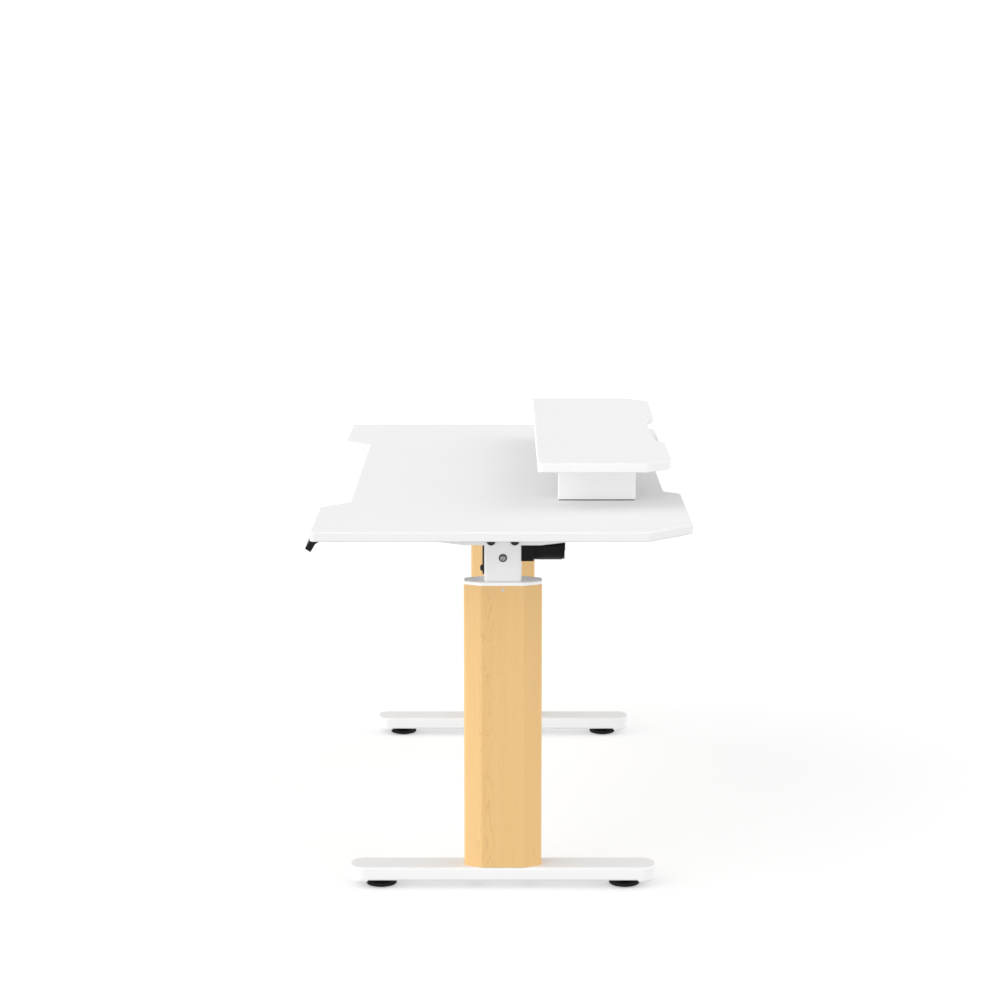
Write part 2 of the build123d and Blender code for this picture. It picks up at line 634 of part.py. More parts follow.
def frame_rails():
    middle = BRACKET_UNDER - RAIL_HEIGHT / 2
    with BuildPart() as rails:
        with BuildSketch(Plane(origin=(-RAIL_END, RAIL_Y, middle), x_dir=(0, 1, 0), z_dir=(1, 0, 0))):
            RectangleRounded(RAIL_WIDTH, RAIL_HEIGHT, 2.5)
            inner = (RAIL_WIDTH - 2 * RAIL_WALL, RAIL_HEIGHT - 2 * RAIL_WALL)
            RectangleRounded(*inner, 1, mode=Mode.SUBTRACT)
        extrude(amount=2 * RAIL_END)
        with Locations((-RAIL_BOLT_X, RAIL_Y, BRACKET_UNDER), (RAIL_BOLT_X, RAIL_Y, BRACKET_UNDER)):
            Hole(3.1, depth=RAIL_HEIGHT)
        mirror(about=Plane.XZ)
    write(rails.part, "frame_rails")


def frame_bolts():
    outer = TUBE_FACE + BRACKET_PLATE
    rail_bottom = BRACKET_UNDER - RAIL_HEIGHT
    with BuildPart() as bolts:
        head_planes = [facing((outer, y, BOLT_Z), (1, 0, 0)) for y in (-BOLT_Y, BOLT_Y)]
        add_screws(head_planes, 8, 5, 4, 11, socket=3.2)
        rail_planes = [facing((RAIL_BOLT_X, y, rail_bottom), (0, 0, -1)) for y in (-RAIL_Y, RAIL_Y)]
        add_screws(rail_planes, 6, 4, 3, 20.5, socket=2.6)
        mirror(about=Plane.YZ)
    write(bolts.part, "frame_bolts")


# ---- Control box -----------------------------------------------------------------------


def control_box():
    middle = (BOX_FRONT + BOX_BACK) / 2
    depth = BOX_BACK - BOX_FRONT
    lid = DESK_UNDER - BOX_WALL
    posts = [(x, middle - 8 + y) for x in (-90, 90) for y in (-20, 20)]
    board_z = BOX_BOTTOM + 10
    with BuildPart() as base:
        with BuildSketch(Plane(origin=(0, middle, lid))):
            Rectangle(2 * BOX_HALF, depth)
            RectangleRounded(2 * BOX_EAR, 40, 6)
            with Locations((-BOX_SCREW_X, 0), (BOX_SCREW_X, 0)):
                Circle(2.6, mode=Mode.SUBTRACT)
        extrude(amount=BOX_WALL)
    write(base.part, "control_box_base")
    with BuildPart() as cover:
        with BuildSketch(Plane(origin=(0, middle, BOX_BOTTOM))):
            RectangleRounded(2 * BOX_HALF, depth, 6)
        extrude(amount=lid - BOX_BOTTOM)
        fillet(cover.faces().sort_by(Axis.Z)[0].edges(), 2)
        with BuildSketch(Plane(origin=(0, middle, BOX_BOTTOM + BOX_WALL))):
            RectangleRounded(2 * (BOX_HALF - BOX_WALL), depth - 2 * BOX_WALL, 4)
        extrude(amount=lid - BOX_BOTTOM - BOX_WALL, mode=Mode.SUBTRACT)
        with BuildSketch(Plane.XY.offset(BOX_BOTTOM + BOX_WALL)):
            with Locations(*posts):
                Circle(3)
        extrude(amount=board_z - BOX_BOTTOM - BOX_WALL)
        # Mains inlet: a socket with three blades, open at the back
        socket = Plane(origin=(INLET_X, BOX_BACK, INLET_Z), x_dir=(1, 0, 0), z_dir=(0, -1, 0))
        with BuildSketch(socket):
            Rectangle(30, 22)
        extrude(amount=18)
        with BuildSketch(socket):
            RectangleRounded(24.4, 16.4, 3)
        extrude(amount=15, mode=Mode.SUBTRACT)
        with BuildSketch(socket.offset(15)):
            with Locations((-7, -2), (0, 2), (7, -2)):
                Rectangle(2, 4)
        extrude(amount=-11)
    write(cover.part, "control_box_cover")
    with BuildPart() as board:
        with BuildSketch(Plane(origin=(0, middle - 8, board_z))):
            Rectangle(200, 50)
        extrude(amount=1.6)
        with BuildSketch(Plane(origin=(0, middle - 8, board_z + 1.6))):
            with Locations((-60, 5)):
                Rectangle(34, 28)
            with Locations((-20, 8), (0, 8)):
                Circle(7)
        extrude(amount=14)
    write(board.part, "control_board")


# ---- Handset ---------------------------------------------------------------------------

FACE = Plane(origin=(HANDSET_X, *HANDSET_LOW), x_dir=(1, 0, 0), z_dir=FACE_OUT)
FACE_MIDDLE = HANDSET_FACE / 2


def handset_case():
    with BuildPart() as case:
        with BuildSketch(FACE):
            with Locations((0, FACE_MIDDLE)):
                RectangleRounded(HANDSET_WIDTH, HANDSET_FACE, 4)
        extrude(amount=-HANDSET_SHELL)
        fillet(case.faces().sort_by(Axis((0, 0, 0), FACE_OUT))[-1].edges(), 1.2)
        with BuildSketch(FACE.offset(-HANDSET_WALL)):
            with Locations((0, FACE_MIDDLE)):
                RectangleRounded(HANDSET_WIDTH - 2 * HANDSET_WALL, HANDSET_FACE - 2 * HANDSET_WALL, 2.5)
        extrude(amount=HANDSET_WALL - HANDSET_SHELL, mode=Mode.SUBTRACT)
        with BuildSketch(FACE):
            with Locations(*[(x, FACE_MIDDLE) for x in KEYS.values()]):
                RectangleRounded(KEY_WIDTH + 0.6, KEY_HEIGHT + 0.6, 1.5)
            with Locations((DISPLAY_X, FACE_MIDDLE)):
                RectangleRounded(DISPLAY_WIDTH, DISPLAY_HEIGHT, 1.5)
        extrude(amount=-HANDSET_WALL, mode=Mode.SUBTRACT)
    write(case.part, "handset_case")


def handset_back():
    low_y, low_z = HANDSET_LOW
    depth = HANDSET_SHELL + HANDSET_WALL

    def on_back(up):
        """Y and Z of a point on the back face, a distance up it."""
        return low_y + up * FACE_UP[1] - depth * FACE_OUT[1], low_z + up * FACE_UP[2] - depth * FACE_OUT[2]

    flange_end, flange_under = -290, DESK_UNDER - 11
    with BuildPart() as back:
        with BuildSketch(FACE.offset(-HANDSET_SHELL)):
            with Locations((0, FACE_MIDDLE)):
                RectangleRounded(HANDSET_WIDTH, HANDSET_FACE, 4)
        extrude(amount=-HANDSET_WALL)
        with BuildSketch(Plane(origin=(HANDSET_X, 0, 0), x_dir=(0, 1, 0), z_dir=(1, 0, 0))):
            rim = [on_back(14), on_back(HANDSET_FACE - 1), (-335, DESK_UNDER), (flange_end, DESK_UNDER)]
            Polygon(*rim, (flange_end, flange_under), (-326, flange_under), align=None)
        extrude(amount=40, both=True)
        with Locations(*[(x, y, DESK_UNDER) for x, y in HANDSET_SCREWS]):
            Hole(2.6, depth=11)
    write(back.part, "handset_back")


def handset_display():
    with BuildPart() as window:
        with BuildSketch(FACE.offset(-0.2)):
            with Locations((DISPLAY_X, FACE_MIDDLE)):
                RectangleRounded(DISPLAY_WIDTH - 2 * SNUG, DISPLAY_HEIGHT - 2 * SNUG, 1.5)
        extrude(amount=-1.8)
    write(window.part, "handset_display")


def handset_key(name, x):
    """A key cap through the case, with a rim behind the wall that keeps it in."""
    rim_gap = 0.1
    with BuildPart() as key:
        with BuildSketch(FACE.offset(KEY_PROUD)):
            with Locations((x, FACE_MIDDLE)):
                RectangleRounded(KEY_WIDTH, KEY_HEIGHT, 1.2)
        extrude(amount=-KEY_PROUD - HANDSET_WALL - rim_gap)
        fillet(key.faces().sort_by(Axis((0, 0, 0), FACE_OUT))[-1].edges(), 0.5)
        with BuildSketch(FACE.offset(-HANDSET_WALL - rim_gap)):
            with Locations((x, FACE_MIDDLE)):
                Rectangle(KEY_WIDTH + 2, KEY_HEIGHT + 3)
        extrude(amount=-1)
    write(key.part, name)


# ---- All the pieces --------------------------------------------------------------------

desktop()
desktop_screws()
monitor_shelf()
shelf_support()
shelf_pads()
shelf_screws()
foot_beam()
foot_end_caps()
foot_bolts()
levelling_nuts()
for end, place in (("front", -LEVELLER_Y), ("back", LEVELLER_Y)):
    levelling_pad(end, place)
outer_tube()
column_cladding()
cladding_screws()
column_collars()
glides()
inner_tube()
nut_posts()
spindle_nuts()
spindle()
spindle_bearings()
worm_wheel()
worm()
gearbox_housing()
motor()
gearbox_plates()
plate_screws()
gearbox_bolts()
side_bracket()
frame_rails()
frame_bolts()
control_box()
handset_case()
handset_back()
handset_display()
for key_name, key_x in KEYS.items():
    handset_key(key_name, key_x)
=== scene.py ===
"""Looks of the height adjustable desk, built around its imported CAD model.

Metres, +X along the desk, -Y the user's side, +Z up. The CAD nodes keep their shapes and
get procedural materials; legends, display digits, ports and vents are added as pieces.
"""
import json
import math

import bmesh
import bpy
from mathutils import Matrix, Vector


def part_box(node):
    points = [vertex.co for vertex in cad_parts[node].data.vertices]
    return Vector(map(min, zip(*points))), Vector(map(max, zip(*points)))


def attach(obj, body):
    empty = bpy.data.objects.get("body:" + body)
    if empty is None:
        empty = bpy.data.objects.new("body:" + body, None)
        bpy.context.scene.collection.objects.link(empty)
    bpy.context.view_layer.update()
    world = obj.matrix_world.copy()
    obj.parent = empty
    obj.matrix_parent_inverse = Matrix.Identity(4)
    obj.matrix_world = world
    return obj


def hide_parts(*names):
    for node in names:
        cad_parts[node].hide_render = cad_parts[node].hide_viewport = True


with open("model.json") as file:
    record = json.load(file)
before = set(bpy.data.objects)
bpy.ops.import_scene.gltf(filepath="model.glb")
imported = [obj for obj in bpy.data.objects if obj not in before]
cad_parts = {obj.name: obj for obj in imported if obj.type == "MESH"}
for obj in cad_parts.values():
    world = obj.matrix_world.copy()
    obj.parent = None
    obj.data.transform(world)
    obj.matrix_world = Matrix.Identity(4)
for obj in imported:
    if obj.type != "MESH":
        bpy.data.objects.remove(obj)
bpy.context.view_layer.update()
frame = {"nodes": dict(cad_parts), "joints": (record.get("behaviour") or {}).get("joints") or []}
NODES = frame["nodes"]
MM = 0.001

# ---- Camera, lights and floor ------------------------------------------------------------

CAMERA_DISTANCE = 5.323      # from the middle of the desk, along +X
CAMERA_HEIGHT = 1.552
CAMERA_DOWN = math.radians(9.67)
CAMERA_LENS = 93.6           # mm on a 36 mm sensor
CAMERA_SHIFT = -0.0029
FLOOR_GLOW = 0.70            # keeps the floor as white as the backdrop
FLOOR_SIZE = 20


def place_camera():
    """A long lens off the right-hand end of the desk, a little above its top."""
    data = bpy.data.cameras.new("camera")
    data.lens = CAMERA_LENS
    data.sensor_width = 36
    data.shift_x = CAMERA_SHIFT
    data.clip_end = 60
    camera = bpy.data.objects.new("camera", data)
    camera.location = (CAMERA_DISTANCE, 0, CAMERA_HEIGHT)
    camera.rotation_euler = (math.pi / 2 - CAMERA_DOWN, 0, math.pi / 2)     # looks along -X
    bpy.context.scene.collection.objects.link(camera)
    bpy.context.scene.camera = camera


# Light that comes from everywhere, from the horizon, and from soft panes around the desk.
# A pane is its middle direction, the cosines where it fades in and is full, and its strength.
ROOM_LEVEL = 0.5
HORIZON = 0.72               # what the horizon adds, all round
HORIZON_EDGES = (0.06, 0.20)  # sines of the heights where it starts and stops fading
PANES = (((1.0, 0.0, 0.12), 0.72, 0.95, 0.25),      # beside the camera
         ((0.0, 0.0, 1.0), 0.55, 0.95, 0.20),       # overhead
         ((0.35, -1.0, 0.35), 0.55, 0.92, 1.70),    # the user's side
         ((0.0, 1.0, 0.35), 0.55, 0.92, 1.05))      # the back


def light_room():
    """A pale room with a white horizon and soft panes of light, strongest on the user's side."""
    world = bpy.data.worlds.new("room")
    world.use_nodes = True
    tree = world.node_tree
    background = tree.nodes["Background"]
    direction = tree.nodes.new("ShaderNodeTexCoord").outputs["Generated"]
    height = make(tree, "ShaderNodeSeparateXYZ", {"Vector": direction}).outputs["Z"]
    level = spread(tree, math_node(tree, "ABSOLUTE", height, 0), HORIZON, 0, *HORIZON_EDGES, "SMOOTHSTEP")
    for middle, fade_in, full, strength in PANES:
        towards = make(tree, "ShaderNodeVectorMath", {0: direction, 1: Vector(middle).normalized()},
                       operation="DOT_PRODUCT").outputs["Value"]
        pane = spread(tree, towards, 0, strength, fade_in, full, "SMOOTHSTEP")
        level = math_node(tree, "ADD", pane, level)
    tree.links.new(math_node(tree, "ADD", level, ROOM_LEVEL), background.inputs["Strength"])
    background.inputs["Color"].default_value = (1, 1, 1, 1)
    bpy.context.scene.world = world


def lay_floor():
    """A white floor that takes the desk's shadow and sends no light of its own on to it."""
    mesh = bpy.data.meshes.new("floor")
    shape = bmesh.new()
    bmesh.ops.create_grid(shape, x_segments=4, y_segments=4, size=FLOOR_SIZE)
    shape.to_mesh(mesh)
    shape.free()
    floor = bpy.data.objects.new("floor", mesh)
    bpy.context.scene.collection.objects.link(floor)
    mesh.materials.append(floor_paint())
    # The room alone lights the desk from below, so the floor blocks none of its rays
    floor.visible_diffuse = False
    floor.visible_shadow = False


# ---- Material helpers --------------------------------------------------------------------


def make(tree, kind, inputs=None, **settings):
    """Adds a node. An input given as a socket is linked to it; anything else is its value."""
    made = tree.nodes.new(kind)
    for name, value in settings.items():
        setattr(made, name, value)
    for name, value in (inputs or {}).items():
        if isinstance(value, bpy.types.NodeSocket):
            tree.links.new(value, made.inputs[name])
        else:
            made.inputs[name].default_value = value
    return made


def start(name, **shader):
    """A new material, its node tree, its shader and the place coordinates of the surface."""
    material = bpy.data.materials.new(name)
    material.use_nodes = True
    tree = material.node_tree
    bsdf = tree.nodes["Principled BSDF"]
    for socket, value in shader.items():
        bsdf.inputs[socket.replace("_", " ")].default_value = value
    place = tree.nodes.new("ShaderNodeTexCoord").outputs["Object"]
    return material, tree, bsdf, place


def stretched(tree, place, scale):
    """The place coordinates scaled by axis, for patterns that run along one of them."""
    return make(tree, "ShaderNodeMapping", {"Vector": place, "Scale": scale}).outputs["Vector"]


def noise(tree, place, scale, detail=3, roughness=0.55):
    """Cloudy noise between 0 and 1: scale is in features per metre."""
    settings = {"Vector": place, "Scale": scale, "Detail": detail, "Roughness": roughness}
    return make(tree, "ShaderNodeTexNoise", settings).outputs["Fac"]


def spread(tree, value, low, high, start_at=0.3, end_at=0.7, shape="LINEAR"):
    """Maps a value from start_at..end_at, the usual reach of noise, to low..high."""
    settings = {"Value": value, "From Min": start_at, "From Max": end_at, "To Min": low, "To Max": high}
    return make(tree, "ShaderNodeMapRange", settings, interpolation_type=shape).outputs["Result"]


def blend_colour(tree, factor, first, second):
    # Sockets 0, 6 and 7 are the factor and the two colours; output 2 is the colour
    return make(tree, "ShaderNodeMix", {0: factor, 6: first, 7: second}, data_type="RGBA").outputs[2]


def math_node(tree, operation, first, second):
    return make(tree, "ShaderNodeMath", {0: first, 1: second}, operation=operation).outputs[0]


def bump(tree, bsdf, height, distance):
    made = make(tree, "ShaderNodeBump", {"Height": height, "Distance": distance, "Strength": 1.0})
    tree.links.new(made.outputs["Normal"], bsdf.inputs["Normal"])


def grey(value):
    return (value, value, value, 1)


# ---- Materials ---------------------------------------------------------------------------


def floor_paint():
    material, tree, bsdf, place = start("floor_paint", Roughness=0.9, Specular_IOR_Level=0.1,
                                        Emission_Strength=FLOOR_GLOW)
    cloud = noise(tree, place, 0.7)
    colour = blend_colour(tree, spread(tree, cloud, 0, 1), grey(0.59), grey(0.61))
    tree.links.new(colour, bsdf.inputs["Base Color"])
    tree.links.new(colour, bsdf.inputs["Emission Color"])
    return material


def toned_surface(name, light, dark, rough, grain, depth, **shader):
    """A surface with cloudy tone, uneven gloss and a fine grain: grain is per metre."""
    material, tree, bsdf, place = start(name, **shader)
    cloud = noise(tree, place, 7, detail=4)
    fine = noise(tree, place, grain, detail=2)
    tone = math_node(tree, "ADD", spread(tree, cloud, 0, 0.7), spread(tree, fine, 0, 0.3))
    colour = blend_colour(tree, tone, dark, light)
    tree.links.new(colour, bsdf.inputs["Base Color"])
    tree.links.new(spread(tree, noise(tree, place, 31), rough[0], rough[1]), bsdf.inputs["Roughness"])
    bump(tree, bsdf, fine, depth)
    return material


def white_laminate():
    return toned_surface("white_laminate", (0.830, 0.830, 0.828, 1), (0.822, 0.822, 0.820, 1),
                         (0.30, 0.33), 900, 0.0008 * MM, Specular_IOR_Level=0.0)


def white_powder_coat():
    return toned_surface("white_powder_coat", (0.852, 0.855, 0.858, 1), (0.832, 0.835, 0.838, 1),
                         (0.34, 0.44), 1500, 0.012 * MM)


# Painted light: a lighter copy of the white laminate for the shelf supports and column collars, lifting the
# shade they sit in
def painted_light_laminate():
    return toned_surface("painted_light_laminate", (0.945, 0.945, 0.943, 1), (0.935, 0.935, 0.933, 1),
                         (0.34, 0.42), 900, 0.0008 * MM, Specular_IOR_Level=0.0)


def white_moulding():
    return toned_surface("white_moulding", (0.852, 0.852, 0.852, 1), (0.836, 0.836, 0.836, 1),
                         (0.38, 0.48), 2000, 0.008 * MM)


def black_moulding():
    return toned_surface("black_moulding", grey(0.010), grey(0.006), (0.45, 0.58), 1800, 0.04 * MM,
                         Specular_IOR_Level=0.16)


def key_moulding():
    return toned_surface("key_moulding", grey(0.026), grey(0.018), (0.36, 0.46), 2600, 0.02 * MM,
                         Specular_IOR_Level=0.3)


def black_enamel():
    return toned_surface("black_enamel", grey(0.007), grey(0.004), (0.30, 0.42), 1100, 0.03 * MM,
                         Specular_IOR_Level=0.11)


def black_oxide():
    return toned_surface("black_oxide", grey(0.030), grey(0.014), (0.30, 0.42), 1600, 0.015 * MM,
                         Metallic=0.4, Specular_IOR_Level=0.3)


def nylon():
    return toned_surface("nylon", (0.82, 0.80, 0.74, 1), (0.76, 0.73, 0.66, 1), (0.40, 0.52), 900, 0.02 * MM)


def dark_rubber():
    return toned_surface("dark_rubber", grey(0.030), grey(0.016), (0.70, 0.86), 1500, 0.04 * MM,
                         Specular_IOR_Level=0.2)


def steel(name, light, dark, along, rough):
    """Metal with drawn or turned lines: along holds how often they change along X, Y and Z."""
    material, tree, bsdf, place = start(name, Metallic=1.0)
    lines = noise(tree, stretched(tree, place, along), 1, detail=4)
    colour = blend_colour(tree, spread(tree, lines, 0, 1), dark, light)
    tree.links.new(colour, bsdf.inputs["Base Color"])
    tree.links.new(spread(tree, noise(tree, place, 160), rough[0], rough[1]), bsdf.inputs["Roughness"])
    bump(tree, bsdf, lines, 0.01 * MM)
    return material


def plain_steel():
    return steel("plain_steel", grey(0.38), grey(0.22), (1500, 1500, 400), (0.24, 0.38))


def zinc_plate():
    return steel("zinc_plate", (0.66, 0.67, 0.70, 1), (0.52, 0.52, 0.54, 1), (900, 900, 900), (0.26, 0.40))


def display_window():
    return toned_surface("display_window", grey(0.008), grey(0.004), (0.05, 0.10), 300, 0.002 * MM)


def circuit_board():
    material, tree, bsdf, place = start("circuit_board", Roughness=0.35)
    tracks = make(tree, "ShaderNodeTexBrick",
                  {"Vector": place, "Scale": 260.0, "Mortar Size": 0.03, "Color1": (0.012, 0.10, 0.035, 1),
                   "Color2": (0.015, 0.13, 0.05, 1), "Mortar": (0.03, 0.22, 0.09, 1)})
    tree.links.new(tracks.outputs["Color"], bsdf.inputs["Base Color"])
    bump(tree, bsdf, tracks.outputs["Fac"], 0.03 * MM)
    return material


def glowing_digits():
    material, tree, bsdf, place = start("glowing_digits", Roughness=0.4, Emission_Strength=1.6)
    glow = spread(tree, noise(tree, place, 900), 0, 1)
    colour = blend_colour(tree, glow, (0.75, 0.95, 1.0, 1), (0.55, 0.85, 1.0, 1))
    tree.links.new(colour, bsdf.inputs["Emission Color"])
    tree.links.new(colour, bsdf.inputs["Base Color"])
    return material


def legend_ink():
    return toned_surface("legend_ink", grey(0.80), grey(0.72), (0.5, 0.6), 2500, 0.01 * MM)


def oak(name, heart):
    """Light oak facing with upright grain. heart is where, in X and Y, its cathedral figure is centred."""
    material, tree, bsdf, place = start(name, Specular_IOR_Level=0.3)
    # The grain runs up Z, so distances along Z are shrunk before any pattern is read
    wander = make(tree, "ShaderNodeTexNoise", {"Vector": stretched(tree, place, (1, 1, 0.30)), "Scale": 14.0,
                                               "Detail": 3.0, "Roughness": 0.6}).outputs["Color"]
    offset = make(tree, "ShaderNodeVectorMath", {0: wander, 1: (0.5, 0.5, 0.5)},
                  operation="SUBTRACT").outputs[0]
    swirl = make(tree, "ShaderNodeVectorMath", {0: offset, "Scale": 0.034}, operation="SCALE").outputs[0]
    bent = make(tree, "ShaderNodeVectorMath", {0: place, 1: swirl}, operation="ADD").outputs[0]
    centred = make(tree, "ShaderNodeMapping", {"Vector": bent, "Location": (-heart[0], -heart[1], 0),
                                               "Scale": (1, 1, 0.045)}).outputs["Vector"]
    rings = make(tree, "ShaderNodeTexWave",
                 {"Vector": centred, "Scale": 125.0, "Distortion": 1.0, "Detail": 3.0, "Detail Scale": 3.0},
                 wave_type="RINGS", rings_direction="Z", wave_profile="SAW").outputs["Fac"]
    # The figure shows within a stretch about the heart and dies away into plain straight grain
    reach = make(tree, "ShaderNodeVectorMath", {0: centred, 1: (1, 1, 0)}, operation="MULTIPLY").outputs[0]
    away = make(tree, "ShaderNodeVectorMath", {0: reach}, operation="LENGTH").outputs["Value"]
    figure = spread(tree, away, 0.55, 0.06, 0.012, 0.040, "SMOOTHSTEP")
    patches = spread(tree, noise(tree, stretched(tree, place, (30, 30, 9)), 1), 0.25, 1.0, 0.35, 0.65)
    streaks = noise(tree, stretched(tree, bent, (950, 950, 7)), 1, detail=3, roughness=0.65)
    bands = noise(tree, stretched(tree, place, (45, 45, 1.2)), 1, detail=2)
    pores = noise(tree, stretched(tree, place, (2600, 2600, 90)), 1, detail=1)
    base = blend_colour(tree, spread(tree, bands, 0, 1), (0.800, 0.520, 0.225, 1), (0.772, 0.494, 0.208, 1))
    shown = math_node(tree, "MULTIPLY", figure, patches)
    grain_line = math_node(tree, "MULTIPLY", spread(tree, rings, 0, 1, 0.70, 1.0), shown)
    ringed = blend_colour(tree, grain_line, base, (0.52, 0.29, 0.11, 1))
    streaked = blend_colour(tree, spread(tree, streaks, 0, 0.22, 0.45, 0.8), ringed, (0.62, 0.36, 0.15, 1))
    colour = blend_colour(tree, spread(tree, pores, 0, 0.20, 0.62, 0.8), streaked, (0.50, 0.28, 0.11, 1))
    tree.links.new(colour, bsdf.inputs["Base Color"])
    tree.links.new(spread(tree, streaks, 0.42, 0.54), bsdf.inputs["Roughness"])
    bump(tree, bsdf, math_node(tree, "ADD", streaks, pores), 0.02 * MM)
    return material


def paint_nodes():
    """Gives every CAD node its material and returns the shared materials by name."""
    heart_x, heart_y = 0.020, -0.027      # from the middle of the leg, outwards and along Y
    # painted_light_panel is the white laminate made lighter, painted light in the shade on the shelf
    # supports and column collars
    paints = {"laminate": white_laminate(), "coat": white_powder_coat(), "painted_light_panel": painted_light_laminate(),
              "moulding": white_moulding(), "black": black_moulding(), "enamel": black_enamel(),
              "oxide": black_oxide(),
              "bare": plain_steel(), "zinc": zinc_plate(), "slide": nylon(), "rubber": dark_rubber(),
              "board": circuit_board(), "window": display_window(), "key": key_moulding()}
    for side, outwards in (("left", -1), ("right", 1)):
        low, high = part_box(f"column_cladding_{side}")
        middle = (Vector(low) + Vector(high)) / 2
        paints[f"oak_{side}"] = oak(f"oak_{side}", (middle.x + outwards * heart_x, middle.y + heart_y))
    # The longest stem that a node's name starts with decides
    stems = {"desktop": "laminate", "monitor_shelf": "laminate", "shelf_support": "painted_light_panel",
             "shelf_pads": "rubber", "foot_beam": "coat", "outer_tube": "coat", "inner_tube": "coat",
             "side_bracket": "coat", "frame_rails": "coat", "nut_posts": "coat", "foot_end_caps": "moulding",
             "column_collars": "painted_light_panel", "column_cladding_left": "oak_left",
             "column_cladding_right": "oak_right", "cladding_screws": "zinc", "desktop_screws": "zinc",
             "shelf_screws": "zinc", "levelling_nuts": "zinc", "levelling_stud": "zinc",
             "foot_bolts": "oxide",
             "frame_bolts": "oxide", "plate_screws": "oxide", "gearbox_plates": "oxide",
             "gearbox_bolts": "bare", "spindle_bearings": "bare", "worm_wheel": "slide",
             "spindle_nuts": "slide", "spindle": "bare", "worm": "bare", "upper_glides": "slide",
             "lower_glides": "slide", "gearbox_housing": "enamel", "motor": "enamel",
             "control_box": "black", "control_board": "board", "handset_display": "window",
             "handset": "black", "levelling_pad": "black", "key": "key"}
    for name, node in NODES.items():
        stem = max((stem for stem in stems if name.startswith(stem)), key=len)
        node.data.materials.clear()
        node.data.materials.append(paints[stems[stem]])
    return paints


# ---- Mesh helpers ------------------------------------------------------------------------


def facing(origin, out, up=(0, 0, 1)):
    """A place whose z is out and whose y is up: pieces are drawn in its x, y and z."""
    z = Vector(out).normalized()
    x = Vector(up).cross(z).normalized()
    return Matrix.Translation(origin) @ Matrix((x, z.cross(x), z)).transposed().to_4x4()


def mesh_object(name, shape, smooth_below=40):
    """Turns a bmesh into an object in the scene, smooth except across its sharper edges."""
    bmesh.ops.recalc_face_normals(shape, faces=shape.faces)
    mesh = bpy.data.meshes.new(name)
    shape.to_mesh(mesh)
    shape.free()
    mesh.shade_smooth()
    mesh.set_sharp_from_angle(angle=math.radians(smooth_below))
    made = bpy.data.objects.new(name, mesh)
    bpy.context.scene.collection.objects.link(made)
    return made


def finish_piece(made, body, paint):
    """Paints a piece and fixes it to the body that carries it."""
    made.data.materials.clear()
    made.data.materials.append(paint)
    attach(made, body)
    return made


def lathe(shape, place, profile, steps=48):
    """Turns a profile of (radius, height) points about the z of a place. Radius 0 closes it."""
    rings = []
    for radius, height in profile:
        turns = [math.tau * step / steps for step in range(steps if radius else 1)]
        rings.append([shape.verts.new(place @ Vector((radius * math.cos(a), radius * math.sin(a), height)))
                      for a in turns])
    for low, high in zip(rings, rings[1:]):
        for step in range(steps):
            nearby = (low[step % len(low)], low[(step + 1) % len(low)],
                      high[(step + 1) % len(high)], high[step % len(high)])
            shape.faces.new(list(dict.fromkeys(nearby)))


def prism(shape, place, outline, low, high):
    """A plate of an outline of (x, y) points, between two heights of a place."""
    floor, roof = ([shape.verts.new(place @ Vector((x, y, height))) for x, y in outline]
                   for height in (low, high))
    shape.faces.new(list(reversed(floor)))
    shape.faces.new(roof)
    for step in range(len(outline)):
        after = (step + 1) % len(outline)
        shape.faces.new((floor[step], floor[after], roof[after], roof[step]))


def rounded(width, height, radius, middle=(0, 0), steps=4):
    """Outline of a rectangle with round corners."""
    points = []
    for corner, (side_x, side_y) in enumerate(((1, 1), (-1, 1), (-1, -1), (1, -1))):
        for step in range(steps + 1):
            angle = (corner + step / steps) * math.pi / 2
            points.append((middle[0] + side_x * (width / 2 - radius) + radius * math.cos(angle),
                           middle[1] + side_y * (height / 2 - radius) + radius * math.sin(angle)))
    return points


def soften(shape, width):
    """Rounds every sharp edge of the pieces drawn so far."""
    sharp = [edge for edge in shape.edges if edge.calc_face_angle(0) > math.radians(50)]
    bmesh.ops.bevel(shape, geom=sharp, offset=width, segments=2, affect="EDGES", clamp_overlap=True)


def carve(made, cutter):
    """Cuts one object out of another and removes the cutter."""
    cut = made.modifiers.new("cut", "BOOLEAN")
    cut.object = cutter
    cut.operation = "DIFFERENCE"
    cut.solver = "EXACT"
    bpy.context.view_layer.update()
    ready = made.evaluated_get(bpy.context.evaluated_depsgraph_get())
    mesh = bpy.data.meshes.new_from_object(ready)
    made.modifiers.clear()
    made.data = mesh
    mesh.set_sharp_from_angle(angle=math.radians(40))
    bpy.data.objects.remove(cutter)


def hexagon(size):
    """Outline of a hexagon socket."""
    return [(size * math.cos(k * math.pi / 3), size * math.sin(k * math.pi / 3)) for k in range(6)]


def cross(length, width):
    """Outline of a cross recess."""
    a, b = length / 2, width / 2
    return [(a, -b), (a, b), (b, b), (b, a), (-b, a), (-b, b),
            (-a, b), (-a, -b), (-b, -b), (-b, -a), (b, -a), (b, -b)]


